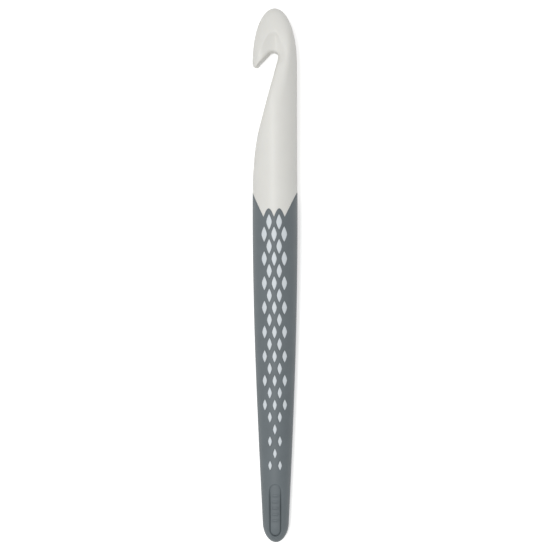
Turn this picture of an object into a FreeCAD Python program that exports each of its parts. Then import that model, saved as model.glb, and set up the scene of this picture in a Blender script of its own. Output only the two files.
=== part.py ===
"""Crochet hook: a hard polymer core with a soft grip moulded over its tail.

Millimetres. The hook is drawn straight, with its axis along +Y, the butt end at y = 0, the
tip at y = LENGTH, the mouth open towards -X and its two patterned faces towards +Z and -Z.
Each piece is then laid down as it lies on a table: on the straight underside of the handle.
"""
import FreeCAD, Part
import math
import os
from FreeCAD import Vector

# Overall sizes
LENGTH = 180.0
GAUGE_RADIUS = 7.5
REACH = 14.0            # cutting bodies reach this far out of the hook

# Head: an elliptical nose, with a slanting flat on each face
NOSE_LENGTH = 20.0
FLAT_START = 150.0
FLAT_SLOPE = 0.144

# Mouth and throat, seen from the front: each round has a start, a middle and an end
LIP_HEEL_ROUND = [(-7.46, 161.6), (-7.0, 160.45), (-6.1, 160.0)]
LIP_TOE_ROUND = [(-5.75, 160.0), (-5.3, 160.15), (-4.9, 160.5)]
GAP_ROUND = [(-1.3, 164.62), (0.0, 165.1), (1.14, 163.7)]
THROAT_TOP = (1.0, 162.4)
THROAT_BEND = (-5.15, 140.1)
THROAT_EASE_X = -7.35
THROAT_END = (-7.6, 118.2)

# Relief that leads into the mouth on each face
RELIEF_APEX = (-0.6, 172.2)
RELIEF_FOOT = (-5.4, 160.8)
RELIEF_ANGLE = 24.0
RELIEF_LEAD = 2.0       # the wedge starts this far beyond its apex
RELIEF_AREA = [(-9.0, 159.0), (-2.5, 159.0), (0.9, 162.5), (0.9, 174.0), (-9.0, 174.0)]

# Handle: the outline is one Bezier curve of (place along the axis, half width)
HANDLE_TOP = 118.0
HANDLE_WIDTH_POLES = [(0.0, 4.08), (50.0, 6.305), (75.0, 7.56), (HANDLE_TOP, GAUGE_RADIUS)]
HANDLE_SECTIONS = 12
BUTT_SECTIONS = 3
BUTT_HALF_DEPTH = 3.6
BUTT_ROUND = 5.5
BUTT_CAP = 2.2          # the ellipsoid's own surface reaches this far up
BUTT_LAST_ANGLE = 80.0  # sections go on round the ellipsoid to this angle from the axis
LOFT_DEGREE = 5

# Grip sleeve
SLEEVE_WALL = 1.25
TAIL_END = 24.0
RIM_LOW = 109.65
RIM_PEAK = 117.6
ARCH_WAIST = (0.626, 110.6)         # across from the low beside it, and along the axis
ARCH_SHOULDER = (0.9155, 111.6)
ARCH_TOP = 112.4

# Pointed windows, in staggered rows counted from the rim
ROWS = 21
ROW_PITCH = 4.113
FIRST_ROW = 108.0
COLUMN_PITCH = 3.41
FIRST_WINDOW = (0.935, 2.425)   # half width, half height
LAST_WINDOW = (0.54, 1.40)
ONE_WINDOW_ROWS = (18, 20)

# Pocket near the butt end
POCKET_HALF_WIDTH = 1.85
POCKET_LOW = 2.6
POCKET_HIGH = 19.6
POCKET_DEPTH = 0.7
RIB_COUNT = 5
RIB_FIRST = 9.0
RIB_PITCH = 2.0
RIB_SIZE = (2.0, 0.7, 0.25)     # across, along, height


def bezier(poles, t):
    """Point of a cubic Bezier curve: each coordinate is the sum of pole times Bernstein weight."""
    weights = [(1 - t) ** 3, 3 * t * (1 - t) ** 2, 3 * t * t * (1 - t), t ** 3]
    return [sum(w * pole[axis] for w, pole in zip(weights, poles)) for axis in (0, 1)]


def half_depth(y):
    """Half thickness of the handle: a straight taper from the shank to the butt."""
    return BUTT_HALF_DEPTH + (GAUGE_RADIUS - BUTT_HALF_DEPTH) * min(y / HANDLE_TOP, 1.0)


def handle_width_at(y):
    """Half width of the handle at y, found on the outline by halving."""
    low, high = 0.0, 1.0
    for _ in range(40):
        middle = (low + high) / 2
        if bezier(HANDLE_WIDTH_POLES, middle)[0] < y:
            low = middle
        else:
            high = middle
    return bezier(HANDLE_WIDTH_POLES, low)[1]


def flat(points):
    """Points of the front view as vectors."""
    return [Vector(x, y, 0) for x, y in points]


def line(start, end):
    """Straight edge between two points of the front view."""
    return Part.LineSegment(*flat([start, end])).toShape()


def arc(start, middle, end):
    """Circular edge through three points of the front view."""
    return Part.Arc(*flat([start, middle, end])).toShape()


def upright(edges, low=-REACH, high=REACH):
    """Prism through the hook, along Z, from a closed outline of the front view."""
    face = Part.Face(Part.Wire(edges))
    face.translate(Vector(0, 0, low))
    return face.extrude(Vector(0, 0, high - low))


def crosswise(points, half_length=REACH):
    """Prism along X from a closed outline of (y, z) points."""
    corners = [Vector(-half_length, y, z) for y, z in points]
    return Part.Face(Part.makePolygon(corners + corners[:1])).extrude(Vector(2 * half_length, 0, 0))


def oval_wire(y, half_width, depth):
    """Elliptical section across the axis at y."""
    section = Part.Wire(Part.Ellipse(Vector(), half_width, depth).toShape())
    section.rotate(Vector(), Vector(1, 0, 0), 90)
    section.translate(Vector(0, y, 0))
    return section


def head_and_shank():
    """Round gauge shank with an elliptical nose, turned about the axis, with the two flats."""
    shoulder = LENGTH - NOSE_LENGTH
    nose = Part.Ellipse(Vector(0, LENGTH, 0), Vector(GAUGE_RADIUS, shoulder, 0), Vector(0, shoulder, 0))
    outline = [
        Part.ArcOfEllipse(nose, 0, math.pi / 2).toShape(),
        line((GAUGE_RADIUS, shoulder), (GAUGE_RADIUS, HANDLE_TOP)),
        line((GAUGE_RADIUS, HANDLE_TOP), (0, HANDLE_TOP)),
        line((0, HANDLE_TOP), (0, LENGTH)),
    ]
    body = Part.Face(Part.Wire(outline)).revolve(Vector(0, 0, 0), Vector(0, 1, 0), 360)
    far = LENGTH + REACH
    far_height = GAUGE_RADIUS - (far - FLAT_START) * FLAT_SLOPE
    for side in (1, -1):
        corners = [(FLAT_START, GAUGE_RADIUS), (far, far_height), (far, REACH), (FLAT_START, REACH)]
        body = body.cut(crosswise([(y, side * z) for y, z in corners]))
    return body


def mouth():
    """Prism of the mouth and the throat: under the lip, round the gap, down the slanting shank."""
    steepness = (THROAT_TOP[1] - THROAT_BEND[1]) / (THROAT_TOP[0] - THROAT_BEND[0])
    ease_y = THROAT_BEND[1] + (THROAT_EASE_X - THROAT_BEND[0]) * steepness
    throat = Part.BezierCurve()
    throat.setPoles(flat([THROAT_BEND, (THROAT_EASE_X, ease_y), THROAT_END]))
    high_corner, low_corner = (-REACH, LIP_HEEL_ROUND[0][1]), (-REACH, THROAT_END[1])
    return upright([
        line(high_corner, LIP_HEEL_ROUND[0]),
        arc(*LIP_HEEL_ROUND),
        line(LIP_HEEL_ROUND[-1], LIP_TOE_ROUND[0]),
        arc(*LIP_TOE_ROUND),
        line(LIP_TOE_ROUND[-1], GAP_ROUND[0]),
        arc(*GAP_ROUND),
        line(GAP_ROUND[-1], THROAT_TOP),
        line(THROAT_TOP, THROAT_BEND),
        throat.toShape(),
        line(THROAT_END, low_corner),
        line(low_corner, high_corner),
    ])


def relief(side):
    """Shallow wedge on one face: a plane that dips from a slanting line towards the gap's far wall."""
    def on_flat(point):
        """Point of the front view lifted onto the slanting flat."""
        return Vector(point[0], point[1], side * (GAUGE_RADIUS - (point[1] - FLAT_START) * FLAT_SLOPE))

    apex, foot = on_flat(RELIEF_APEX), on_flat(RELIEF_FOOT)
    along = (foot - apex).normalize()
    out = Vector(0, FLAT_SLOPE, side).normalize()
    across = out.cross(along).normalize() * side
    dip = REACH * math.tan(math.radians(RELIEF_ANGLE))
    start = apex - along * RELIEF_LEAD
    far = start + across * REACH
    corners = [start, far - out * dip, far + out * REACH, start + out * REACH]
    wedge = Part.Face(Part.makePolygon(corners + corners[:1])).extrude(along * 2 * REACH)
    area = [line(a, b) for a, b in zip(RELIEF_AREA, RELIEF_AREA[1:] + RELIEF_AREA[:1])]
    return wedge.common(upright(area))


def oval_loft(sections):
    """Smooth body through oval sections given as (y, half width, half depth)."""
    wires = [oval_wire(*section) for section in sections]
    return Part.makeLoft(wires, True, False, False, LOFT_DEGREE)


def spread(low, high, count):
    """Evenly spaced places from low to high, both ends included."""
    return [low + (high - low) * step / count for step in range(count + 1)]


def handle():
    """Oval handle with a rounded butt: part of an ellipsoid, met by sections that shrink along it."""
    semi_axes = (handle_width_at(BUTT_ROUND), BUTT_ROUND, half_depth(BUTT_ROUND))
    cap_angle = math.acos(1 - BUTT_CAP / BUTT_ROUND)
    sections = []
    for angle in spread(cap_angle, math.radians(BUTT_LAST_ANGLE), BUTT_SECTIONS):
        y = BUTT_ROUND * (1 - math.cos(angle))
        sections.append((y, semi_axes[0] * math.sin(angle), semi_axes[2] * math.sin(angle)))
    for y in spread(BUTT_ROUND, HANDLE_TOP, HANDLE_SECTIONS):
        sections.append((y, handle_width_at(y), half_depth(y)))
    scale = FreeCAD.Matrix()
    scale.scale(Vector(*semi_axes))
    latitude = 90 - math.degrees(cap_angle)
    cap = Part.makeSphere(1, Vector(), Vector(0, -1, 0), latitude, 90, 360).transformGeometry(scale)
    cap.translate(Vector(0, BUTT_ROUND, 0))
    return oval_loft(sections).fuse(cap)


def tail():
    """Core's tail inside the sleeve, one wall thickness smaller all round."""
    stations = spread(TAIL_END, HANDLE_TOP + 1, HANDLE_SECTIONS)
    return oval_loft([(y, handle_width_at(y) - SLEEVE_WALL, half_depth(y) - SLEEVE_WALL) for y in stations])


def window(x, y, half_width, half_height):
    """Prism of one pointed window: two circular arcs that meet at its top and bottom."""
    top, bottom = (x, y + half_height), (x, y - half_height)
    return upright([arc(top, (x + half_width, y), bottom), arc(bottom, (x - half_width, y), top)])


def windows():
    """All the windows: rows of two and three in turn, smaller towards the butt."""
    prisms = []
    for row in range(1, ROWS + 1):
        share = (row - 1) / (ROWS - 1)
        sizes = [a + (b - a) * share for a, b in zip(FIRST_WINDOW, LAST_WINDOW)]
        columns = (-0.5, 0.5) if row % 2 else (-1, 0, 1)
        if row in ONE_WINDOW_ROWS:
            columns = (0,)
        for column in columns:
            prisms.append(window(column * COLUMN_PITCH, FIRST_ROW - (row - 1) * ROW_PITCH, *sizes))
    return prisms


def below_rim():
    """Prism of everything on the butt side of the rim: slanting sides, and two arches between them."""
    edge_x = COLUMN_PITCH
    slope = (RIM_PEAK - RIM_LOW) / (GAUGE_RADIUS - edge_x)
    outer_y = RIM_LOW + (REACH - edge_x) * slope
    edges = [line((-REACH, -REACH), (-REACH, outer_y)), line((-REACH, outer_y), (-edge_x, RIM_LOW))]
    for left in (-edge_x, 0.0):
        right = left + edge_x
        rise = [(left, RIM_LOW)] + [(left + across, y) for across, y in (ARCH_WAIST, ARCH_SHOULDER)]
        fall = [(right - across, y) for across, y in (ARCH_SHOULDER, ARCH_WAIST)] + [(right, RIM_LOW)]
        edges += [arc(*rise), arc(rise[-1], ((left + right) / 2, ARCH_TOP), fall[0]), arc(*fall)]
    edges.append(line((edge_x, RIM_LOW), (REACH, outer_y)))
    edges.append(line((REACH, outer_y), (REACH, -REACH)))
    edges.append(line((REACH, -REACH), (-REACH, -REACH)))
    return upright(edges)


def pocket():
    """Oval pocket whose floor dips towards the butt, with plain raised ribs left standing on it."""
    low, high = POCKET_LOW + POCKET_HALF_WIDTH, POCKET_HIGH - POCKET_HALF_WIDTH
    side = POCKET_HALF_WIDTH
    outline = upright([
        line((-side, low), (-side, high)),
        arc((-side, high), (0, POCKET_HIGH), (side, high)),
        line((side, high), (side, low)),
        arc((side, low), (0, POCKET_LOW), (-side, low)),
    ], 0, REACH)
    floor_low = half_depth(POCKET_LOW) - POCKET_DEPTH
    floor_high = half_depth(POCKET_HIGH)
    room = outline.common(crosswise([
        (POCKET_LOW, floor_low), (POCKET_HIGH, floor_high), (POCKET_HIGH, REACH), (POCKET_LOW, REACH),
    ]))
    across, along, height = RIB_SIZE
    slope = (floor_high - floor_low) / (POCKET_HIGH - POCKET_LOW)
    for index in range(RIB_COUNT):
        y = RIB_FIRST + index * RIB_PITCH
        top = floor_low + (y - POCKET_LOW) * slope + height
        room = room.cut(Part.makeBox(across, along, top, Vector(-across / 2, y - along / 2, 0)))
    return room


def laid_down(shape):
    """The piece turned and moved so that the handle's straight underside lies on z = 0."""
    pitch = math.atan((GAUGE_RADIUS - BUTT_HALF_DEPTH) / HANDLE_TOP)
    lowest = HANDLE_TOP * math.sin(pitch) - GAUGE_RADIUS * math.cos(pitch)
    shape.rotate(Vector(0, 0, 0), Vector(1, 0, 0), math.degrees(pitch))
    shape.translate(Vector(0, -LENGTH / 2 * math.cos(pitch), -lowest))
    return shape


def main():
    """Build the two pieces and write one STEP file for each."""
    head = head_and_shank().cut(mouth()).cut(relief(1)).cut(relief(-1))
    blank = handle().fuse(head)
    insert = tail().fuse(windows())
    sleeve = blank.common(below_rim()).cut(insert)
    core = blank.cut(sleeve)
    pieces = {"hook_core": core, "grip_sleeve": sleeve.cut(pocket())}
    os.makedirs("parts", exist_ok=True)
    for name, shape in pieces.items():
        [solid] = shape.Solids
        print(name, "volume", round(solid.Volume, 1), "valid", solid.isValid())
        laid_down(solid).exportStep(f"parts/{name}.step")


main()
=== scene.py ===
"""Crochet hook in Blender: a hard polymer core and the soft grip moulded over its tail.

Shapes are worked out in millimetres on the hook drawn straight: x across, y from the butt
(0) to the tip, z out of the front face. Placement lays them down in the frame, in metres.
"""

import enum
import logging
import math
from dataclasses import dataclass, field

import bmesh
import bpy
import numpy as np
from mathutils import Matrix, Vector


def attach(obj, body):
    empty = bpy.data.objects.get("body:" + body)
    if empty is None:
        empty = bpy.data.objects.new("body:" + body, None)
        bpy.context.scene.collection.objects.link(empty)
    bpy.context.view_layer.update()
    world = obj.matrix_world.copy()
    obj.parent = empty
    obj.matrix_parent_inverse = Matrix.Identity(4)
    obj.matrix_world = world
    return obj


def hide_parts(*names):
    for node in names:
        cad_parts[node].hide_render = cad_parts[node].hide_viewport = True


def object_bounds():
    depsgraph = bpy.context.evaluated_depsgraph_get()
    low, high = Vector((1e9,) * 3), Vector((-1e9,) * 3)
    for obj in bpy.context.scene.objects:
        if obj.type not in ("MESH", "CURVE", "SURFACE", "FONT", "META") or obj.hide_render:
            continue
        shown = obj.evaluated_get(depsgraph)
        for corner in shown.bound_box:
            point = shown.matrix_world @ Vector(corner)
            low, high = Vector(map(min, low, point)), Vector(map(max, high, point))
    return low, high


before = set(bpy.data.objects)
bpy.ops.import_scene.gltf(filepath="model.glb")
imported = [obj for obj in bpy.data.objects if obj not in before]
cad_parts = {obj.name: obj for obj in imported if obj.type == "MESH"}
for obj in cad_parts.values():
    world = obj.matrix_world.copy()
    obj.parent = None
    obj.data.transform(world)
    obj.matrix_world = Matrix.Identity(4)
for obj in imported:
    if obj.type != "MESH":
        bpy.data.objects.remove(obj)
CAD_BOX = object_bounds()
LOG = logging.getLogger("crochet_hook")
MM = 0.001
MERGE_DISTANCE = 2e-7
SHARP_ANGLE = math.radians(42.0)
CURVE_SAMPLES = 400
TINY = 1e-6


class Side(enum.Enum):
    """Which patterned face of the hook a feature is on."""

    FRONT = 1.0
    BACK = -1.0


def smooth_step(values: np.ndarray, low: float, high: float) -> np.ndarray:
    """Ease from 0 at low to 1 at high along 3t^2 - 2t^3, flat outside.

    Args:
        values: Numbers to ease.
        low: Where the step starts.
        high: Where the step ends.

    Returns:
        The eased values, the same shape as the input.
    """
    t = np.clip((values - low) / (high - low), 0.0, 1.0)
    return t * t * (3.0 - 2.0 * t)


def soft_min(first: np.ndarray, second: np.ndarray, blend: float) -> np.ndarray:
    """Smaller of two heights, with the crease between them filled over a width of blend.

    Args:
        first: One height field.
        second: The other height field.
        blend: Height difference within which the two are blended.

    Returns:
        The blended minimum: a - (blend - |a - b|)^2 / (4 blend) where they are that near.
    """
    near = np.maximum(blend - np.abs(first - second), 0.0)
    return np.minimum(first, second) - near * near / (4.0 * blend)


def quarter_round(distance: np.ndarray, radius: np.ndarray) -> np.ndarray:
    """Drop of a rounded-over edge: radius minus the height of a quarter circle of that radius.

    Args:
        distance: Distance in from the edge.
        radius: Radius of the round.

    Returns:
        The drop, which is radius at the edge and 0 from one radius in.
    """
    inside = np.clip(1.0 - distance / radius, 0.0, 1.0)
    return radius * (1.0 - np.sqrt(np.maximum(1.0 - inside * inside, 0.0)))


def fill(marks: np.ndarray, step: float) -> np.ndarray:
    """Put evenly spaced values between marks, no further apart than step.

    Args:
        marks: Values to keep, in order.
        step: Largest gap wanted.

    Returns:
        The marks with the values between them.
    """
    spans = [
        np.linspace(a, b, max(int(math.ceil(abs(b - a) / step)), 1), endpoint=False)
        for a, b in zip(marks[:-1], marks[1:])
    ]
    return np.concatenate(spans + [np.asarray(marks[-1:], dtype=float)])


@dataclass(frozen=True)
class Placement:
    """Lays the straight hook down on its handle's straight underside, in the frame's metres."""

    pitch: float
    shift_y: float
    shift_z: float

    @classmethod
    def from_frame(cls, outline: "HookOutline") -> "Placement":
        """Read the place from the CAD box: the tip is its far end and the table its lowest side.

        Args:
            outline: Sizes of the straight hook.

        Returns:
            The placement.
        """
        low, high = CAD_BOX
        pitch = math.atan((outline.gauge_radius - outline.butt_half_depth) / outline.handle_top)
        rest = outline.handle_top * math.sin(pitch) - outline.gauge_radius * math.cos(pitch)
        shift_y = high.y / MM - outline.length * math.cos(pitch)
        return cls(pitch, shift_y, low.z / MM - rest)

    def apply(self, points: np.ndarray) -> np.ndarray:
        """Turn points about the x axis by the pitch, shift them, and give them in metres.

        Args:
            points: Array whose last axis is x, y, z in millimetres.

        Returns:
            The placed points, in metres.
        """
        x, y, z = np.moveaxis(points, -1, 0)
        c, s = math.cos(self.pitch), math.sin(self.pitch)
        placed = [x, y * c - z * s + self.shift_y, y * s + z * c + self.shift_z]
        return np.stack(placed, axis=-1) * MM


@dataclass(frozen=True)
class HookOutline:
    """Sizes that the core and the sleeve share, in millimetres."""

    length: float = 180.0
    gauge_radius: float = 7.5
    nose_length: float = 20.0
    nose_power: float = 2.3
    handle_top: float = 118.0
    butt_half_depth: float = 3.6
    butt_round: float = 6.4
    width_poles: tuple = ((0.0, 4.07), (50.0, 6.40), (75.0, 7.62), (118.0, 7.53))
    sleeve_wall: float = 1.25

    def nose_start(self) -> float:
        """Place along the axis where the shank ends and the nose begins."""
        return self.length - self.nose_length

    def radius(self, y: np.ndarray) -> np.ndarray:
        """Half width of head and shank: gauge radius times sqrt(1 - u^power) along the nose.

        Args:
            y: Places along the axis.

        Returns:
            Half widths.
        """
        u = np.clip((y - self.nose_start()) / self.nose_length, 0.0, 1.0)
        return self.gauge_radius * np.sqrt(1.0 - u**self.nose_power)

    def half_width(self, y: np.ndarray) -> np.ndarray:
        """Half width of the handle, read off one cubic Bezier curve of (y, half width).

        Args:
            y: Places along the axis.

        Returns:
            Half widths.
        """
        t = np.linspace(0.0, 1.0, CURVE_SAMPLES)[:, None]
        weights = np.hstack([(1 - t) ** 3, 3 * t * (1 - t) ** 2, 3 * t**2 * (1 - t), t**3])
        curve = weights @ np.array(self.width_poles)
        return np.interp(y, curve[:, 0], curve[:, 1])

    def half_depth(self, y: np.ndarray) -> np.ndarray:
        """Half thickness of the handle: a straight taper from the shank to the butt.

        Args:
            y: Places along the axis.

        Returns:
            Half thicknesses.
        """
        share = np.clip(y / self.handle_top, 0.0, 1.0)
        return self.butt_half_depth + (self.gauge_radius - self.butt_half_depth) * share

    def butt_share(self, y: np.ndarray) -> np.ndarray:
        """How full the section is near the butt: a quarter ellipse from 0 at its end to 1.

        Args:
            y: Places along the axis.

        Returns:
            Factors for the half width and the half thickness.
        """
        u = np.clip(1.0 - y / self.butt_round, 0.0, 1.0)
        return np.sqrt(1.0 - u * u)

    def oval(self, y: np.ndarray, turn: np.ndarray, inset: np.ndarray) -> np.ndarray:
        """Points on the handle: (width sin turn, y, depth cos turn), less an inset all round.

        Args:
            y: Places along the axis.
            turn: Angles from the front face, towards +x.
            inset: How far inside the outer skin.

        Returns:
            Points, with x, y, z on the last axis.
        """
        share = self.butt_share(y)
        width = self.half_width(y) * share - inset
        depth = self.half_depth(y) * share - inset
        y = np.broadcast_to(y, np.broadcast_shapes(y.shape, turn.shape))
        return np.stack(np.broadcast_arrays(width * np.sin(turn), y, depth * np.cos(turn)), axis=-1)


@dataclass(frozen=True)
class WindowPattern:
    """Staggered rows of pointed windows through the sleeve, and the rim that follows them."""

    rows: int = 21
    columns: tuple = (-2, -1, 0, 1, 2)
    first_row: float = 108.45
    row_pitch: float = 4.092
    column_pitch: float = 3.345
    first_size: tuple = (0.98, 2.74)
    last_size: tuple = (0.62, 1.73)
    side_power: float = 1.5
    single_rows: tuple = (18, 20)
    rim_reach: float = 7.5
    rim_pitch: float = 3.55
    rim_low: float = 110.1
    rim_peak: float = 118.3
    arch_top: float = 112.9
    arch_steepness: float = 1.5
    arch_blend: float = 0.5

    def row_y(self, row: int) -> float:
        """Place of a row's centre along the axis."""
        return self.first_row - (row - 1) * self.row_pitch

    def row_size(self, row: int) -> tuple:
        """Half width and half height of a row's windows, shrinking evenly towards the butt."""
        share = (row - 1) / (self.rows - 1)
        return tuple(a + (b - a) * share for a, b in zip(self.first_size, self.last_size))

    def row_columns(self, row: int) -> tuple:
        """Column numbers of a row, in half pitches: two and three in turn, or one near the butt."""
        if row in self.single_rows:
            return (0,)
        return (-1, 1) if row % 2 else (-2, 0, 2)

    def window_half_width(
        self, offset: np.ndarray, half_width: float, half_height: float
    ) -> np.ndarray:
        """Half width of a pointed window, at an offset along it from its centre.

        It is half_width times 1 - |offset / half_height|^side_power: between a rhombus, at
        power 1, and a lens, at power 2.

        Args:
            offset: Distances along the axis from the centre.
            half_width: The window's half width at its centre.
            half_height: Half its height, tip to tip.

        Returns:
            Half widths, 0 beyond the tips.
        """
        return half_width * np.maximum(1.0 - np.abs(offset / half_height) ** self.side_power, 0.0)

    def column_half_width(self, column: int, y: np.ndarray) -> np.ndarray:
        """Half width of the window, if any, that a column has at each y.

        Args:
            column: Column number, in half pitches.
            y: Places along the axis.

        Returns:
            Half widths, 0 between windows.
        """
        widest = np.zeros_like(y)
        for row in range(1, self.rows + 1):
            if column in self.row_columns(row):
                opening = self.window_half_width(y - self.row_y(row), *self.row_size(row))
                widest = np.maximum(widest, opening)
        return widest

    def rim(self, x: np.ndarray) -> np.ndarray:
        """Height of the sleeve's rim: straight slopes outside, and two arches between three lows.

        An arch climbs in a straight line from each low and is rounded off at its top.

        Args:
            x: Places across the hook.

        Returns:
            Places along the axis.
        """
        reach = np.abs(x)
        slope = (self.rim_peak - self.rim_low) / (self.rim_reach - self.rim_pitch)
        outside = self.rim_low + (reach - self.rim_pitch) * slope
        half = self.rim_pitch / 2.0
        share = 1.0 - np.abs(reach - half) / half
        rise = soft_min(self.arch_steepness * share, np.ones_like(share), self.arch_blend)
        top = soft_min(np.array(self.arch_steepness), np.array(1.0), self.arch_blend)
        inside = self.rim_low + (self.arch_top - self.rim_low) * rise / top
        return np.where(reach > self.rim_pitch, outside, inside)


@dataclass(frozen=True)
class Mouth:
    """Mouth, lip and throat seen from the front, and the relief that leads into them.

    Points are (x, y) in millimetres.
    """

    throat_top: tuple = (1.2, 162.4)
    throat_bend: tuple = (-4.95, 140.1)
    throat_ease: tuple = (-7.5, 131.0)
    throat_end: tuple = (-7.5, 117.9)
    throat_limit: float = 0.9994
    wall_top: tuple = (1.34, 163.7)
    gap_top: tuple = (-0.15, 165.15)
    gap_samples: int = 60
    lip_start: tuple = (-1.8, 164.5)
    lip_end: tuple = (-5.3, 161.15)
    lip_outer_y: float = 161.35
    lip_bottom: float = 1.1
    flat_start: float = 150.0
    flat_slope: float = 0.144
    flat_blend: float = 0.7
    tip_blend: float = 2.4
    tip_span: tuple = (165.0, 178.0)
    flank_blend: float = 1.0
    flank_span: tuple = (1.0, 5.0)
    relief_top: float = 172.6
    relief_tip: float = -0.1
    relief_spread: float = 1.28
    relief_power: float = 0.65
    relief_slope: float = 0.42
    relief_reach: float = 7.0
    relief_wall: float = 0.3
    relief_end: float = 4.4
    relief_length: float = 7.0
    relief_least: float = 0.2
    relief_onset: float = 2.5
    relief_foot: tuple = (160.6, 164.4)

    def throat_x(self, y: np.ndarray, radius: float) -> np.ndarray:
        """Left edge of the shank: straight down the throat, then eased out to the full radius.

        Args:
            y: Places along the axis.
            radius: The shank's radius.

        Returns:
            x of the left edge, never quite at the silhouette.
        """
        t = np.linspace(0.0, 1.0, CURVE_SAMPLES // 2)[:, None]
        poles = np.array([self.throat_bend, self.throat_ease, self.throat_end])
        ease = np.hstack([(1 - t) ** 2, 2 * t * (1 - t), t * t]) @ poles
        line = np.vstack([np.array([self.throat_top]), ease])[::-1]
        return np.maximum(np.interp(y, line[:, 1], line[:, 0]), -radius * self.throat_limit)

    def gap_edge(self, count: int) -> np.ndarray:
        """Edge of the gap from the throat's top, up its wall, round its top and down the lip.

        The round top is the circle through the wall's top, the gap's top and the lip's start.

        Args:
            count: How many points to give, evenly spaced along the edge.

        Returns:
            Points (x, y).
        """
        a, b, c = (np.array(p) for p in (self.wall_top, self.gap_top, self.lip_start))
        system = 2.0 * np.array([b - a, c - a])
        centre = np.linalg.solve(system, np.array([b @ b - a @ a, c @ c - a @ a]))
        radius = np.linalg.norm(a - centre)
        start, end = (math.atan2(*(p - centre)[::-1]) for p in (a, c))
        turn = np.linspace(start, end, self.gap_samples)
        top = centre + radius * np.stack([np.cos(turn), np.sin(turn)], axis=-1)
        path = np.vstack([np.array([self.throat_top]), top, np.array([self.lip_end])])
        along = np.concatenate([[0.0], np.cumsum(np.linalg.norm(np.diff(path, axis=0), axis=1))])
        places = np.linspace(0.0, along[-1], count)
        return np.stack([np.interp(places, along, path[:, axis]) for axis in (0, 1)], axis=-1)

    def height(self, x: np.ndarray, y: np.ndarray, outline: HookOutline) -> np.ndarray:
        """Half thickness of head and shank before the mouth's edge is rounded.

        The smaller of the round body and the slanting flat, less the relief: a shallow scoop
        that falls away to the right of a curved line, levels out, and climbs back to the flat.

        Args:
            x: Places across the hook.
            y: Places along the axis.
            outline: Shared sizes.

        Returns:
            Heights above the middle plane.
        """
        body = np.sqrt(np.maximum(outline.radius(y) ** 2 - x * x, 0.0))
        flat = outline.gauge_radius - (y - self.flat_start) * self.flat_slope
        blend = self.flat_blend + self.tip_blend * smooth_step(y, *self.tip_span)
        height = soft_min(body, flat, blend + self.flank_blend * smooth_step(-x, *self.flank_span))
        drop = np.maximum(self.relief_top - y, 0.0)
        line = self.relief_tip - self.relief_spread * drop**self.relief_power
        near = np.clip(x - line, 0.0, self.relief_reach)
        scoop = self.relief_slope * (near - near * near / (2.0 * self.relief_reach))
        widening = np.clip(drop / self.relief_length, self.relief_least, 1.0)
        end = self.relief_wall + (self.relief_end - self.relief_wall) * widening
        climb = 1.0 - smooth_step(x, self.relief_wall, end)
        ends = smooth_step(y, *self.relief_foot) * smooth_step(drop, 0.0, self.relief_onset)
        return height - scoop * climb * ends


class Surface:
    """Mesh under construction: grids of points in millimetres, joined into one object."""

    def __init__(self) -> None:
        """Start with no points and no faces."""
        self.points: list = []
        self.faces: list = []
        self.marks: list = []
        self.count = 0

    def add(self, points: np.ndarray, faces: np.ndarray, mark: float = 0.0) -> None:
        """Take in points and the faces between them.

        Args:
            points: Array (n, 3).
            faces: Array of corner numbers, three or four to a row.
            mark: Value of the painted_shade attribute for these points; where it is 1 the material
                paints shade.
        """
        self.points.append(points)
        self.faces.extend((faces + self.count).tolist())
        self.marks.append(np.full(len(points), mark))
        self.count += len(points)

    def add_grid(
        self, grid: np.ndarray, mark: float = 0.0, keep: np.ndarray | None = None
    ) -> None:
        """Take in a grid of points as quads.

        Args:
            grid: Array (rows, columns, 3), whose last column joins the first.
            mark: Value of the painted_shade attribute for these points; where it is 1 the material
                paints shade.
            keep: Optional array of cells to keep.
        """
        rows, columns = grid.shape[:2]
        faces = grid_faces(rows, columns)
        if keep is not None:
            faces = faces[keep.reshape(-1)]
        self.add(grid.reshape(-1, 3), faces, mark)

    def build(self, name: str, placement: Placement) -> bpy.types.Object:
        """Make the object: doubles merged, normals outward, smooth between sharp edges.

        Args:
            name: Name of the piece.
            placement: Where the piece lies.

        Returns:
            The new mesh object, linked to the scene.
        """
        mesh = bpy.data.meshes.new(name)
        points = placement.apply(np.concatenate(self.points))
        mesh.from_pydata(points.tolist(), [], self.faces)
        # Mask of the bosses, where the hard polymer paints shade.
        painted_shade = mesh.attributes.new("painted_shade", "FLOAT", "POINT")
        painted_shade.data.foreach_set("value", np.concatenate(self.marks).astype(np.float32))
        work = bmesh.new()
        work.from_mesh(mesh)
        bmesh.ops.remove_doubles(work, verts=work.verts, dist=MERGE_DISTANCE)
        bmesh.ops.recalc_face_normals(work, faces=work.faces)
        work.to_mesh(mesh)
        work.free()
        mesh.shade_smooth()
        mesh.set_sharp_from_angle(angle=SHARP_ANGLE)
        piece = bpy.data.objects.new(name, mesh)
        bpy.context.scene.collection.objects.link(piece)
        return piece


def grid_faces(rows: int, columns: int) -> np.ndarray:
    """Quads of a grid of points numbered row by row, whose last column joins the first.

    Args:
        rows: Number of rows.
        columns: Number of columns.

    Returns:
        Array (cells, 4) of corner numbers.
    """
    row, column = np.meshgrid(np.arange(rows - 1), np.arange(columns), indexing="ij")
    after = (column + 1) % columns
    below, above = row * columns, (row + 1) * columns
    corners = [below + column, below + after, above + after, above + column]
    return np.stack(corners, axis=-1).reshape(-1, 4)


def bridge(outer: np.ndarray, inner: np.ndarray, start: tuple, end: tuple) -> np.ndarray:
    """Quads that join edges of an outer grid to the same edges of an inner grid.

    Args:
        outer: Point numbers of the outer grid.
        inner: Point numbers of the inner grid, the same shape.
        start: Rows and columns of the edges' first ends.
        end: Rows and columns of the edges' second ends.

    Returns:
        Array (edges, 4) of corner numbers.
    """
    return np.stack([outer[start], outer[end], inner[end], inner[start]], axis=-1)


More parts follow.
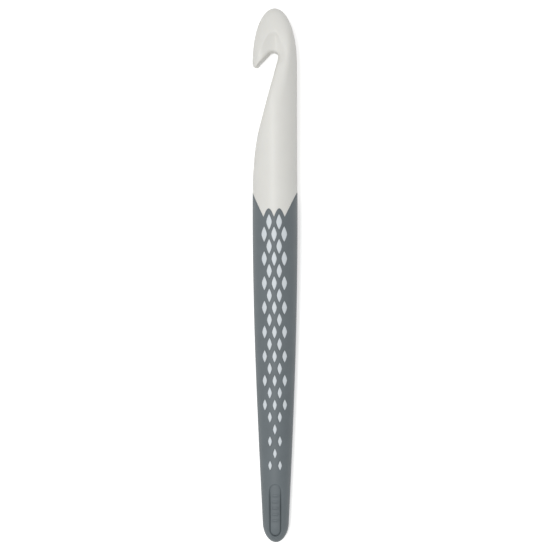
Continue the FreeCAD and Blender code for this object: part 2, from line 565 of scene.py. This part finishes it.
@dataclass
class HookCore:
    """Hard moulding: head, mouth, shank, hidden tail, and the bosses that fill the windows."""

    outline: HookOutline
    pattern: WindowPattern
    mouth: Mouth
    tail_end: float = 24.0
    edge_round: float = 0.10
    boss_gap: float = 0.035
    boss_sink: float = 0.03
    boss_points: int = 17
    boss_scales: tuple = (0.0, 1.0, 1.0, 0.985, 0.95, 0.88, 0.6, 0.3, 0.0)
    boss_drops: tuple = (1.5, 1.5, 0.09, 0.045, 0.018, 0.0, 0.0, 0.0, 0.0)
    round_places: tuple = (0.0, 0.12, 0.3, 0.5, 1.0)
    throat_round: float = 1.5
    gap_round: float = 1.1
    lip_round: float = 1.2
    lip_end_round: float = 0.75
    round_share: float = 0.6
    least_round: float = 0.001
    fan_places: tuple = (0.13, 0.27, 0.42)
    fan_turns: tuple = (0.28, 1.55, 2.45)
    shank_low: float = 119.2
    shank_step: float = 0.6
    tail_high: float = 104.0
    tail_step: float = 4.0
    middle_cell: float = 0.15
    flank_cells: int = 25
    wall_cells: int = 14
    head_rows: int = 150
    cap_rows: int = 12
    tail_rows: int = 5
    edge_rows: int = 5
    shoulder_rows: int = 8

    def columns(self) -> np.ndarray:
        """Places across the shank, from its right silhouette to its left, aligned with the rim.

        Returns:
            x in millimetres, from +radius to -radius.
        """
        radius = self.outline.gauge_radius
        pitch = self.pattern.rim_pitch
        marks = np.array([-2.0, -1.0, 0.0, 1.0, 2.0]) * pitch / 2.0
        middle = fill(marks, self.middle_cell)
        edge = np.arcsin(pitch / radius)
        turn = np.linspace(edge, math.pi / 2.0, self.flank_cells + 1)[1:]
        flank = radius * np.sin(turn)
        return np.concatenate([flank[::-1], middle[::-1], -flank])

    def loop(self, inner: np.ndarray, outer: np.ndarray, rounding: np.ndarray) -> np.ndarray:
        """Closed sections through the head or shank, one row of points for each station.

        A section runs from its outer point over the front to its inner point, down the inner
        wall, and back under. Its height at each point is the mouth's height field there, less
        the drop of the rounded edge at that distance from the inner point.

        Args:
            inner: Inner points (stations, 2), on the mouth or the left edge.
            outer: Outer points (stations, 2), on the outline.
            rounding: Radius of the edge at each station.

        Returns:
            Grid (stations, columns, 3).
        """
        radius = self.outline.gauge_radius
        share = ((radius - self.columns()) / (2.0 * radius))[None, :, None]
        place = outer[:, None, :] + (inner - outer)[:, None, :] * share
        height = self.mouth.height(place[..., 0], place[..., 1], self.outline)
        distance = np.linalg.norm(place - inner[:, None, :], axis=-1)
        limit = np.minimum(rounding, self.round_share * height[:, -1])[:, None]
        height = height - quarter_round(distance, np.maximum(limit, self.least_round))
        height = np.maximum(height, 0.0)
        height[:, 0] = 0.0
        down = np.linspace(1.0, -1.0, self.wall_cells + 1)[1:-1]
        wall_height = height[:, -1:] * down
        wall_place = np.repeat(inner[:, None, :], len(down), axis=1)
        over = np.concatenate([place, height[..., None]], axis=-1)
        wall = np.concatenate([wall_place, wall_height[..., None]], axis=-1)
        under = over[:, :0:-1] * np.array([1.0, 1.0, -1.0])
        return np.concatenate([over, wall, under], axis=1)

    def head_grid(self) -> np.ndarray:
        """Sections that fan round the gap, from the throat's top to the end of the lip.

        The outer points follow the nose by an angle a from the right shoulder to the left one:
        x = radius cos a, and y climbs the nose by (sin a)^(2 / nose power).

        Returns:
            Grid (stations, columns, 3).
        """
        outline, mouth = self.outline, self.mouth
        inner = mouth.gap_edge(self.head_rows)
        place = np.linspace(0.0, 1.0, len(inner))
        start, lip = (
            math.asin(((y - outline.nose_start()) / outline.nose_length) ** (outline.nose_power / 2.0))
            for y in (mouth.throat_top[1], mouth.lip_outer_y)
        )
        turns = [start, *self.fan_turns, math.pi - lip]
        angle = np.interp(place, [0.0, *self.fan_places, 1.0], turns)
        rise = outline.nose_length * np.sin(angle) ** (2.0 / outline.nose_power)
        outer = [outline.gauge_radius * np.cos(angle), outline.nose_start() + rise]
        radii = [self.throat_round, self.gap_round, self.gap_round, self.lip_round, self.lip_end_round]
        rounding = np.interp(place, self.round_places, radii)
        return self.loop(inner, np.stack(outer, axis=-1), rounding)

    def lip_cap(self, last: np.ndarray) -> np.ndarray:
        """Rounded end of the lip: the last section shrinks along a quarter ellipse to a pole.

        Args:
            last: The last section, (columns, 3).

        Returns:
            Grid (stations, columns, 3).
        """
        inner, outer = last[len(self.columns()) - 1, :2], last[0, :2]
        middle = (inner + outer) / 2.0
        along = (inner - outer) / np.linalg.norm(inner - outer)
        out = np.array([along[1], -along[0]])
        turn = np.linspace(0.0, math.pi / 2.0, self.cap_rows + 1)[1:, None]
        across = (last[:, :2] - middle)[None] * np.cos(turn)[..., None]
        flat = middle + across + out * (self.mouth.lip_bottom * np.sin(turn))[..., None]
        height = last[None, :, 2] * np.sqrt(np.maximum(np.cos(turn), 0.0))
        height[-1] = 0.0
        return np.concatenate([flat, height[..., None]], axis=-1)

    def shank_grid(self) -> np.ndarray:
        """Sections down the throat and the gauge shank, to a little above the rim.

        Returns:
            Grid (stations, columns, 3), from the low end up to the throat's top.
        """
        mouth, radius = self.mouth, self.outline.gauge_radius
        marks = np.array([self.shank_low, mouth.throat_bend[1], mouth.throat_top[1]])
        y = fill(marks, self.shank_step)[:-1]
        inner = np.stack([mouth.throat_x(y, radius), y], axis=-1)
        outer = np.stack([self.outline.radius(y), y], axis=-1)
        rounding = np.full(len(y), self.throat_round)
        return self.loop(inner, outer, rounding)

    def tail_grid(self, section: np.ndarray) -> np.ndarray:
        """From the shank's lowest section down to the rim, in over its edge, and along the tail.

        Args:
            section: The shank's lowest section, (columns, 3).

        Returns:
            Grid (stations, columns, 3), from the tail's pole up to just under that section.
        """
        top = section[0, 1]
        turn = np.arctan2(section[:, 0], section[:, 2])
        rim = self.pattern.rim(section[:, 0])
        wall, edge = np.array(self.outline.sleeve_wall), self.edge_round
        low, high = self.tail_end, self.tail_high
        places = fill(np.array([low, high]), self.tail_step)
        rows = [self.outline.oval(np.full_like(turn, y), turn, wall) for y in places]
        for share in np.linspace(0.0, 1.0, self.tail_rows + 1)[1:]:
            rows.append(self.outline.oval(high + (rim - high) * share, turn, wall))
        for turned in np.linspace(0.0, math.pi / 2.0, self.edge_rows):
            y = rim + edge * (1.0 - math.cos(turned))
            rows.append(self.outline.oval(y, turn, np.array(edge * (1.0 - math.sin(turned)))))
        for share in np.linspace(0.0, 1.0, self.shoulder_rows + 1)[1:-1]:
            skin = self.outline.oval((rim + edge) * (1.0 - share) + top * share, turn, np.zeros(1))
            blend = share**3
            kept = skin * np.array([1.0 - blend, 1.0, 1.0 - blend])
            rows.append(kept + section * np.array([blend, 0.0, blend]))
        centre = np.broadcast_to(np.array([0.0, self.tail_end, 0.0]), section.shape)
        return np.stack([centre] + rows)

    def boss_grids(self) -> np.ndarray:
        """All the bosses: rings of a pointed outline, capped level with the sleeve's skin.

        Returns:
            Array (bosses, rings, corners, 3).
        """
        specs = []
        for row in range(1, self.pattern.rows + 1):
            for column in self.pattern.row_columns(row):
                centre = (column * self.pattern.column_pitch / 2.0, self.pattern.row_y(row))
                specs.append(centre + self.pattern.row_size(row))
        cx, cy, half_width, half_height = (np.array(v)[:, None] for v in zip(*specs))
        half_width, half_height = half_width - self.boss_gap, half_height - 2.0 * self.boss_gap
        run = np.linspace(-1.0, 1.0, self.boss_points)
        rise = run * half_height
        reach = self.pattern.window_half_width(rise, half_width, half_height)
        x = np.concatenate([reach, -reach[:, -2:0:-1]], axis=1)
        y = np.concatenate([rise, rise[:, -2:0:-1]], axis=1)
        scales = np.array(self.boss_scales)[:, None]
        sinks = np.array(self.boss_drops)[:, None] + self.boss_sink
        px = cx[:, None] + x[:, None] * scales
        py = cy[:, None] + y[:, None] * scales
        share = np.clip(px / self.outline.half_width(py), -1.0, 1.0)
        pz = self.outline.half_depth(py) * np.sqrt(1.0 - share**2) - sinks
        return np.concatenate([np.stack([px, py, side.value * pz], axis=-1) for side in Side])

    def build(self, placement: Placement) -> bpy.types.Object:
        """Make the whole moulding as one piece.

        Args:
            placement: Where the piece lies.

        Returns:
            The piece.
        """
        surface = Surface()
        shank, head = self.shank_grid(), self.head_grid()
        grid = np.concatenate([self.tail_grid(shank[0]), shank, head, self.lip_cap(head[-1])])
        surface.add_grid(grid)
        for boss in self.boss_grids():
            # The bosses are marked for the painted shade in the hard polymer.
            surface.add_grid(boss, mark=1.0)
        return surface.build("core_moulding", placement)


@dataclass
class GripSleeve:
    """Soft shell over the tail: windows, scalloped rim, rounded butt and the oval pocket."""

    outline: HookOutline
    pattern: WindowPattern
    proud: float = 0.05
    slit: float = 0.012
    edge_steps: tuple = (0.16, 0.06)
    edge_drops: tuple = (0.0, 0.02, 0.075)
    edge_full: float = 0.12
    rim_inset: float = 0.012
    rim_steps: tuple = (0.09, 0.035)
    rim_drops: tuple = (0.012, 0.035, 0.11)
    gather: float = 0.62
    gather_span: tuple = (20.0, 24.0)
    gap_cells: int = 7
    flank_cells: int = 14
    rim_rows: int = 16
    rim_passes: int = 12
    butt_rows: int = 20
    pocket_step: float = 0.16
    plain_step: float = 0.4
    window_step: float = 0.35
    window_margin: float = 0.2
    butt_turn: float = 0.42
    butt_blend: tuple = (0.6, 2.2)
    turn_limit: float = 0.97
    inner_end: float = 23.6
    inner_gap: float = 0.01
    pocket_half: float = 2.07
    pocket_low: float = 2.5
    pocket_high: float = 20.2
    pocket_margin: tuple = (0.8, 1.3)
    fade_from: float = 14.5
    fade_share: float = 0.75
    panel_depth: float = 0.25
    panel_edge: float = 0.3
    groove_depth: float = 0.8
    groove_width: float = 0.17
    groove_inset: float = 0.12
    rib_count: int = 5
    rib_first: float = 8.0
    rib_pitch: float = 2.1
    rib_height: float = 0.28
    rib_half_width: float = 0.42
    rib_half_length: float = 1.05

    def stations(self) -> np.ndarray:
        """Places along the axis, on every window tip and close together round the butt.

        Returns:
            y from the butt up to the centre of the first row.
        """
        pattern = self.pattern
        tips = []
        for row in range(1, pattern.rows + 1):
            half_height = pattern.row_size(row)[1]
            tips += [pattern.row_y(row) - half_height, pattern.row_y(row) + half_height]
        tips = np.array(sorted(t for t in tips if t < pattern.first_row - self.window_margin))
        turn = np.linspace(0.0, math.pi / 2.0, self.butt_rows)
        butt = self.outline.butt_round * (1.0 - np.cos(turn))
        butt = butt[butt < self.pocket_low - self.pocket_margin[0]]
        pocket_top = self.pocket_high + self.pocket_margin[1]
        pocket = fill(np.array([butt[-1], pocket_top]), self.pocket_step)
        plain = fill(np.array([pocket_top, tips[0]]), self.plain_step)
        windows = fill(np.append(tips, pattern.first_row), self.window_step)
        return np.concatenate([butt[:-1], pocket[:-1], plain[:-1], windows])

    def across(self, y: np.ndarray) -> tuple:
        """Places across one face at each y, with lines on both sides of every window column.

        Args:
            y: Places along the axis, (rows, columns) or (rows, 1).

        Returns:
            x of every line (rows, lines), the drop of the skin there, and the cells that a
            window may open, one for each column.
        """
        gather = self.gather + (1.0 - self.gather) * smooth_step(y, *self.gather_span)
        lines, drops, strips = [], [], []
        previous = None
        for column in self.pattern.columns:
            centre = column * self.pattern.column_pitch / 2.0 * gather
            opening = self.pattern.column_half_width(column, y)
            half = np.maximum(opening, self.slit)
            rounded = np.clip(opening / self.edge_full, 0.0, 1.0)
            left = [centre - half - s for s in self.edge_steps] + [centre - half]
            right = [centre + half] + [centre + half + s for s in self.edge_steps[::-1]]
            if previous is not None:
                for share in np.linspace(0.0, 1.0, self.gap_cells + 1)[1:-1]:
                    lines.append(previous + (left[0] - previous) * share)
                    drops.append(np.zeros_like(y))
            for line, drop in zip(left + right, self.edge_drops + self.edge_drops[::-1]):
                lines.append(line)
                drops.append(drop * rounded)
            strips.append(len(lines) - len(right) - 1)
            previous = right[-1]
        return np.concatenate(lines, axis=1), np.concatenate(drops, axis=1), strips

    def pocket_drop(self, x: np.ndarray, y: np.ndarray) -> np.ndarray:
        """Depth of the pocket: a sunk panel, a groove round its foot, and raised cross ribs.

        The outline is every point at pocket_half from a straight line on the middle of the
        face; the panel fades out towards the top. A rib's profile is exp(-(y / half width)^4)
        times exp(-(x / half length)^6), so it is flat on top.

        Args:
            x: Places across.
            y: Places along.

        Returns:
            Depths below the skin.
        """
        half = self.pocket_half
        nearest = np.clip(y, self.pocket_low + half, self.pocket_high - half)
        edge = np.hypot(x, y - nearest) - half
        fade = 1.0 - self.fade_share * smooth_step(y, self.fade_from, self.pocket_high)
        panel = self.panel_depth * smooth_step(-edge, 0.0, self.panel_edge)
        groove_place = (edge + self.groove_inset) / self.groove_width
        groove = self.groove_depth * np.exp(-(groove_place**2))
        phase = (y - self.rib_first) / self.rib_pitch
        near = (phase - np.clip(np.round(phase), 0, self.rib_count - 1)) * self.rib_pitch
        along, across = near / self.rib_half_width, x / self.rib_half_length
        rib = np.exp(-(along**4)) * np.exp(-(across**6))
        return (panel + groove) * fade - self.rib_height * rib

    def skin(self) -> tuple:
        """Outer skin: rows from the butt's pole up to the rim, lines all the way round.

        Above the first row's centre each line climbs to its own point of the rim, where the
        edge is rounded over.

        Returns:
            x, y and drop of one face's points, each (rows, lines), and the cells that a window
            may open.
        """
        y = self.stations()[1:, None]
        x, drop, strips = self.across(y)
        start = self.pattern.first_row
        top = np.full((1, x.shape[1]), start)
        for _ in range(self.rim_passes):
            top = self.pattern.rim(self.across_each(top)[0])
        shares = np.linspace(0.0, 1.0, self.rim_rows + 1)[1:, None]
        high = start + (top - start) * shares
        high_x, high_drop = self.across_each(high)
        face_x = np.concatenate([x, high_x])
        face_y = np.concatenate([np.repeat(y, x.shape[1], axis=1), high])
        return face_x, face_y, np.concatenate([drop, high_drop]), strips

    def across_each(self, y: np.ndarray) -> tuple:
        """Place and drop of each line at its own y: the diagonals of across() on those places.

        Args:
            y: Places along the axis, (rows, lines).

        Returns:
            x and drops, each (rows, lines).
        """
        rows, lines = y.shape
        x, drop, _ = self.across(y.reshape(-1, 1))
        x, drop = (values.reshape(rows, lines, lines) for values in (x, drop))
        return np.diagonal(x, axis1=1, axis2=2), np.diagonal(drop, axis1=1, axis2=2)

    def face_turns(self, x: np.ndarray, y: np.ndarray) -> np.ndarray:
        """Turn angle of a face's points, spread evenly where the lines meet at the butt's pole.

        Args:
            x: Places across, (rows, lines).
            y: Places along, (rows, lines).

        Returns:
            Angles from the top of the section, (rows, lines).
        """
        width = self.outline.half_width(y) * self.outline.butt_share(y)
        share = x / np.maximum(width, TINY)
        turn = np.arcsin(np.clip(share, -self.turn_limit, self.turn_limit))
        spread = np.linspace(-self.butt_turn, self.butt_turn, x.shape[1]) * math.pi / 2.0
        blend = smooth_step(y, *self.butt_blend)
        return spread * (1.0 - blend) + turn * blend

    def build(self, placement: Placement) -> bpy.types.Object:
        """Make the sleeve as one closed shell with open windows.

        Args:
            placement: Where the piece lies.

        Returns:
            The piece.
        """
        face_x, face_y, face_drop, strips = self.skin()
        turn = self.face_turns(face_x, face_y)
        share = np.linspace(0.0, 1.0, self.flank_cells + 2)[1:-1]
        right = turn[:, -1:] + (math.pi - 2.0 * turn[:, -1:]) * share
        back = math.pi - turn[:, ::-1]
        left = (math.pi - turn[:, :1]) + (math.pi + 2.0 * turn[:, :1]) * share
        turns = np.concatenate([turn, right, back, left], axis=1)
        flank_y = self.flank_heights(face_y, right)
        ys = np.concatenate([face_y, flank_y, face_y[:, ::-1], flank_y[:, ::-1]], axis=1)
        plain = np.zeros_like(flank_y)
        front = face_drop + self.pocket_drop(face_x, face_y)
        drops = np.concatenate([front, plain, face_drop[:, ::-1], plain], axis=1) - self.proud
        ys[-1] -= self.rim_inset
        ys[-3:-1] = ys[-1] - np.array(self.rim_steps)[:, None]
        drops[-3:] += np.array(self.rim_drops)[:, None]
        outer = self.outline.oval(ys, turns, drops)
        last = int(np.searchsorted(face_y[:, 0], self.inner_end))
        wall = np.array(self.outline.sleeve_wall - self.inner_gap)
        inner = self.outline.oval(ys[last:], turns[last:], wall)
        surface = self.assemble(outer, inner, strips, face_x.shape[1])
        return surface.build("grip_shell", placement)

    def flank_heights(self, face_y: np.ndarray, right: np.ndarray) -> np.ndarray:
        """y of the plain flank's points: level below the first row, then up to the rim's peak.

        Args:
            face_y: The face's places along, (rows, lines).
            right: Turn angles of the right flank, (rows, flank lines).

        Returns:
            Places along the axis, (rows, flank lines).
        """
        level = np.repeat(face_y[:, :1], right.shape[1], axis=1)
        start = self.pattern.first_row
        climbing = face_y[:, -1:] >= start - TINY
        rim = self.pattern.rim(self.outline.gauge_radius * np.sin(right))
        share = (face_y[:, -1:] - start) / (face_y[-1, -1] - start)
        return np.where(climbing, start + (rim - start) * share, level)

    def open_cells(self, outer: np.ndarray, strips: list, lines: int) -> np.ndarray:
        """Cells of the skin that are open in windows.

        Args:
            outer: Outer skin (rows, columns, 3).
            strips: Cells of one face that a window may open.
            lines: Lines across one face.

        Returns:
            True for open cells, (rows - 1, columns).
        """
        middle_y = (outer[:-1, :, 1] + outer[1:, :, 1]) / 2.0
        opened = np.zeros(middle_y.shape, dtype=bool)
        for column, strip in zip(self.pattern.columns, strips):
            back = lines + self.flank_cells + (lines - 2 - strip)
            for cell in (strip, back):
                half_width = self.pattern.column_half_width(column, middle_y[:, cell])
                opened[:, cell] = half_width > self.slit
        return opened

    def assemble(
        self, outer: np.ndarray, inner: np.ndarray, strips: list, lines: int
    ) -> Surface:
        """Join skins, window walls, rim and poles.

        Args:
            outer: Outer skin (rows, columns, 3).
            inner: Inner skin, whose last row stands under the outer's last row.
            strips: Cells of one face that a window may open.
            lines: Lines across one face.

        Returns:
            The closed surface.
        """
        rows, columns = outer.shape[:2]
        last = rows - len(inner)
        opened = self.open_cells(outer, strips, lines)
        surface = Surface()
        surface.add_grid(outer, keep=~opened)
        opened = opened[last:]
        surface.add_grid(inner, keep=~opened)
        outer_index = np.arange(rows * columns).reshape(rows, columns)[last:]
        inner_index = rows * columns + np.arange(len(inner) * columns).reshape(-1, columns)
        walls = []
        for shift in (1, -1):
            row, cell = np.nonzero(opened & ~np.roll(opened, shift, axis=1))
            line = cell if shift == 1 else (cell + 1) % columns
            walls.append(bridge(outer_index, inner_index, (row, line), (row + 1, line)))
        closed_row = np.zeros((1, columns), bool)
        padded = np.vstack([closed_row, opened, closed_row])
        for shift in (1, -1):
            row, cell = np.nonzero(opened & ~np.roll(padded, shift, axis=0)[1:-1])
            line = row if shift == 1 else row + 1
            after = (cell + 1) % columns
            walls.append(bridge(outer_index, inner_index, (line, cell), (line, after)))
        column = np.arange(columns)
        after = (column + 1) % columns
        walls.append(bridge(outer_index, inner_index, (-1, column), (-1, after)))
        surface.faces.extend(np.concatenate(walls).tolist())
        poles = np.array([[0.0, 0.0, 0.0], [0.0, inner[0, :, 1].mean(), 0.0]])
        first = surface.count
        surface.add(poles, np.zeros((0, 3), dtype=int))
        for pole, foot in enumerate((column, inner_index[0])):
            fan = np.stack([foot, np.roll(foot, -1), np.full(columns, first + pole)], axis=-1)
            surface.faces.extend(fan.tolist())
        return surface


@dataclass(frozen=True)
class Finish:
    """Base of a surface finish: colour, roughness and the sizes of its grain."""

    name: str
    slot: str
    colour: tuple
    roughness: float
    grain_size: float
    grain_depth: float
    mottle: float
    mottle_scale: float = 160.0
    mottle_detail: float = 4.0
    mottle_edges: tuple = (0.3, 0.7)
    grain_detail: float = 3.0
    grain_contrast: float = 0.6
    roughness_spread: float = 0.07
    bump_strength: float = 0.35

    def colour_input(
        self, nodes: bpy.types.Nodes, links: bpy.types.NodeLinks
    ) -> bpy.types.NodeSocket:
        """Base colour with soft mottling from a large noise.

        Args:
            nodes: The material's nodes.
            links: The material's links.

        Returns:
            The colour socket.
        """
        place = nodes.new("ShaderNodeTexCoord").outputs["Object"]
        noise = nodes.new("ShaderNodeTexNoise")
        noise.inputs["Scale"].default_value = self.mottle_scale
        noise.inputs["Detail"].default_value = self.mottle_detail
        links.new(place, noise.inputs["Vector"])
        ramp = nodes.new("ShaderNodeValToRGB")
        stops = zip(ramp.color_ramp.elements, self.mottle_edges, (-self.mottle, self.mottle))
        for stop, position, change in stops:
            stop.position = position
            stop.color = (*(min(c * (1.0 + change), 1.0) for c in self.colour), 1.0)
        links.new(noise.outputs["Fac"], ramp.inputs["Fac"])
        return ramp.outputs["Color"]

    def dress_shader(self, shader: bpy.types.Node) -> None:
        """Set the sockets that are the same all over."""

    def build(self) -> bpy.types.Material:
        """Make the material.

        Returns:
            The material, with grain in its roughness and bump.
        """
        material = bpy.data.materials.new(self.name)
        material.use_nodes = True
        nodes, links = material.node_tree.nodes, material.node_tree.links
        shader = nodes["Principled BSDF"]
        self.dress_shader(shader)
        links.new(self.colour_input(nodes, links), shader.inputs["Base Color"])
        place = nodes.new("ShaderNodeTexCoord").outputs["Object"]
        grain = nodes.new("ShaderNodeTexNoise")
        grain.inputs["Scale"].default_value = 1.0 / self.grain_size
        grain.inputs["Detail"].default_value = self.grain_detail
        grain.inputs["Roughness"].default_value = self.grain_contrast
        links.new(place, grain.inputs["Vector"])
        spread = nodes.new("ShaderNodeMapRange")
        spread.inputs["To Min"].default_value = self.roughness - self.roughness_spread
        spread.inputs["To Max"].default_value = self.roughness + self.roughness_spread
        links.new(grain.outputs["Fac"], spread.inputs["Value"])
        links.new(spread.outputs["Result"], shader.inputs["Roughness"])
        bump = nodes.new("ShaderNodeBump")
        bump.inputs["Strength"].default_value = self.bump_strength
        bump.inputs["Distance"].default_value = self.grain_depth
        links.new(grain.outputs["Fac"], bump.inputs["Height"])
        links.new(bump.outputs["Normal"], shader.inputs["Normal"])
        return material


@dataclass(frozen=True)
class HardPolymer(Finish):
    """Light grey moulded polymer, satin, with painted shade on the bosses where the grip surrounds it:
    they are coloured a darker, cooler grey.
    """

    name: str = "hard polymer"
    slot: str = "hard_polymer"
    colour: tuple = (0.735, 0.73, 0.695)
    roughness: float = 0.46
    grain_size: float = 0.00022
    grain_depth: float = 0.000012
    mottle: float = 0.012
    # Darker, cooler grey painted on the bosses: painted shade from the dark grip around them, not a
    # colour of their own.
    boss_shade_colour: tuple = (0.65, 0.695, 0.728)
    gloss_index: float = 1.49
    depth_weight: float = 0.08
    depth_radius: tuple = (0.0012, 0.0011, 0.0009)

    def colour_input(
        self, nodes: bpy.types.Nodes, links: bpy.types.NodeLinks
    ) -> bpy.types.NodeSocket:
        """Mottled base colour, mixed towards a darker, cooler grey on the bosses by the painted_shade
        attribute: painted shade.

        Args:
            nodes: The material's nodes.
            links: The material's links.

        Returns:
            The colour socket.
        """
        base = super().colour_input(nodes, links)
        painted_shade = nodes.new("ShaderNodeAttribute")
        painted_shade.attribute_name = "painted_shade"
        # Painted shade: the bosses are mixed towards a darker, cooler grey.
        mix = nodes.new("ShaderNodeMix")
        mix.data_type = "RGBA"
        mix.inputs["B"].default_value = (*self.boss_shade_colour, 1.0)
        links.new(painted_shade.outputs["Fac"], mix.inputs["Factor"])
        links.new(base, mix.inputs["A"])
        return mix.outputs["Result"]

    def dress_shader(self, shader: bpy.types.Node) -> None:
        """Set a slight depth under the surface, as light polymers have."""
        shader.inputs["IOR"].default_value = self.gloss_index
        shader.inputs["Subsurface Weight"].default_value = self.depth_weight
        shader.inputs["Subsurface Radius"].default_value = self.depth_radius
        shader.inputs["Subsurface Scale"].default_value = 1.0


@dataclass(frozen=True)
class SoftGrip(Finish):
    """Dark blue-grey elastomer, matt, with a fine grain."""

    name: str = "soft grip"
    slot: str = "soft_grip"
    colour: tuple = (0.137, 0.160, 0.172)
    roughness: float = 0.52
    grain_size: float = 0.00035
    grain_depth: float = 0.00002
    mottle: float = 0.05
    gloss_index: float = 1.45

    def dress_shader(self, shader: bpy.types.Node) -> None:
        """Set a low gloss."""
        shader.inputs["IOR"].default_value = self.gloss_index


@dataclass(frozen=True)
class Softbox:
    """Long soft light over the hook, level with its length, that points at it.

    Its angle is its lean from overhead towards +X in degrees, its width lies across the hook,
    and its radiance is the brightness of its face.
    """

    name: str
    angle: float
    width: float
    radiance: float
    distance: float = 1.2
    length: float = 0.8

    def build(self) -> None:
        """Make the light. Its power is radiance times pi times its area."""
        lamp = bpy.data.lights.new(self.name, "AREA")
        lamp.shape = "RECTANGLE"
        lamp.size, lamp.size_y = self.width, self.length
        lamp.energy = self.radiance * math.pi * self.width * self.length
        holder = bpy.data.objects.new(self.name, lamp)
        turn = Matrix.Rotation(math.radians(self.angle), 4, "Y")
        holder.matrix_world = turn @ Matrix.Translation((0.0, 0.0, self.distance))
        bpy.context.scene.collection.objects.link(holder)


@dataclass
class Studio:
    """White floor, light mostly from overhead, and a camera that leans a little from straight down."""

    view_side: float = 0.18492
    lens: float = 110.0
    sensor: float = 36.0
    lean: float = math.radians(3.0)
    roll: float = math.radians(-0.04)
    surround: float = 0.55
    floor_half: float = 1.5
    floor_colour: tuple = (0.95, 0.95, 0.945, 1.0)
    floor_roughness: float = 0.9
    floor_glow: float = 0.42
    white: tuple = (1.0, 1.0, 1.0, 1.0)
    view_depth: float = 10.0
    aim: tuple = (0.0, 0.00052)
    lights: tuple = (
        Softbox("left softbox", angle=-58.0, width=0.85, radiance=0.4),
        Softbox("top softbox", angle=-8.0, width=0.25, radiance=9.7),
    )

    def floor(self) -> bpy.types.Object:
        """Large pale sheet that the hook lies on, glowing a little so that it stays white.

        Returns:
            The floor.
        """
        low, _ = CAD_BOX
        half = self.floor_half
        mesh = bpy.data.meshes.new("floor")
        corners = [(-half, -half), (half, -half), (half, half), (-half, half)]
        mesh.from_pydata([(x, y, low.z) for x, y in corners], [], [(0, 1, 2, 3)])
        sheet = bpy.data.objects.new("floor", mesh)
        bpy.context.scene.collection.objects.link(sheet)
        material = bpy.data.materials.new("floor sheet")
        material.use_nodes = True
        shader = material.node_tree.nodes["Principled BSDF"]
        shader.inputs["Base Color"].default_value = self.floor_colour
        shader.inputs["Roughness"].default_value = self.floor_roughness
        shader.inputs["Emission Color"].default_value = self.white
        shader.inputs["Emission Strength"].default_value = self.floor_glow
        mesh.materials.append(material)
        sheet.visible_diffuse = False
        return sheet

    def world(self) -> None:
        """Even white surroundings."""
        world = bpy.data.worlds.new("surroundings")
        world.use_nodes = True
        backdrop = world.node_tree.nodes["Background"]
        backdrop.inputs["Color"].default_value = self.white
        backdrop.inputs["Strength"].default_value = self.surround
        bpy.context.scene.world = world

    def camera(self) -> None:
        """Camera over the hook, leaning a little to its right, with +Y up in the view."""
        low, high = CAD_BOX
        middle = (low + high) / 2.0
        reach = self.lens / self.sensor * self.view_side
        data = bpy.data.cameras.new("camera")
        data.lens, data.sensor_width = self.lens, self.sensor
        data.clip_end = self.view_depth
        holder = bpy.data.objects.new("camera", data)
        aim = Vector((middle.x + self.aim[0], middle.y + self.aim[1], middle.z))
        turn = Matrix.Rotation(self.lean, 4, "Y") @ Matrix.Rotation(self.roll, 4, "Z")
        holder.matrix_world = Matrix.Translation(aim) @ turn @ Matrix.Translation((0.0, 0.0, reach))
        bpy.context.scene.collection.objects.link(holder)
        bpy.context.scene.camera = holder

    def build(self) -> None:
        """Set up floor, lights, surroundings, camera and a plain view transform."""
        self.floor()
        self.world()
        for light in self.lights:
            light.build()
        self.camera()
        bpy.context.scene.view_settings.view_transform = "Standard"


@dataclass
class CrochetHook:
    """The whole hook: its two mouldings and their finishes."""

    outline: HookOutline = field(default_factory=HookOutline)
    pattern: WindowPattern = field(default_factory=WindowPattern)
    mouth: Mouth = field(default_factory=Mouth)

    def dress(self, piece: bpy.types.Object, finish: Finish, node: str) -> None:
        """Give a piece its finish and tie it to the frame.

        Args:
            piece: The piece.
            finish: Its finish.
            node: The CAD node that it stands for.
        """
        piece.data.materials.append(finish.build())
        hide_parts(node)
        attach(piece, "root")
        mesh = piece.data
        LOG.info("%s: %d vertices, %d faces", piece.name, len(mesh.vertices), len(mesh.polygons))

    def build(self) -> None:
        """Make both pieces."""
        placement = Placement.from_frame(self.outline)
        core = HookCore(self.outline, self.pattern, self.mouth).build(placement)
        self.dress(core, HardPolymer(), "hook_core")
        sleeve = GripSleeve(self.outline, self.pattern).build(placement)
        self.dress(sleeve, SoftGrip(), "grip_sleeve")


def main() -> None:
    """Build the hook and the studio, and report each step."""
    logging.basicConfig(level=logging.INFO)
    CrochetHook().build()
    Studio().build()
    LOG.info("scene built")


if __name__ == "__main__":
    main()
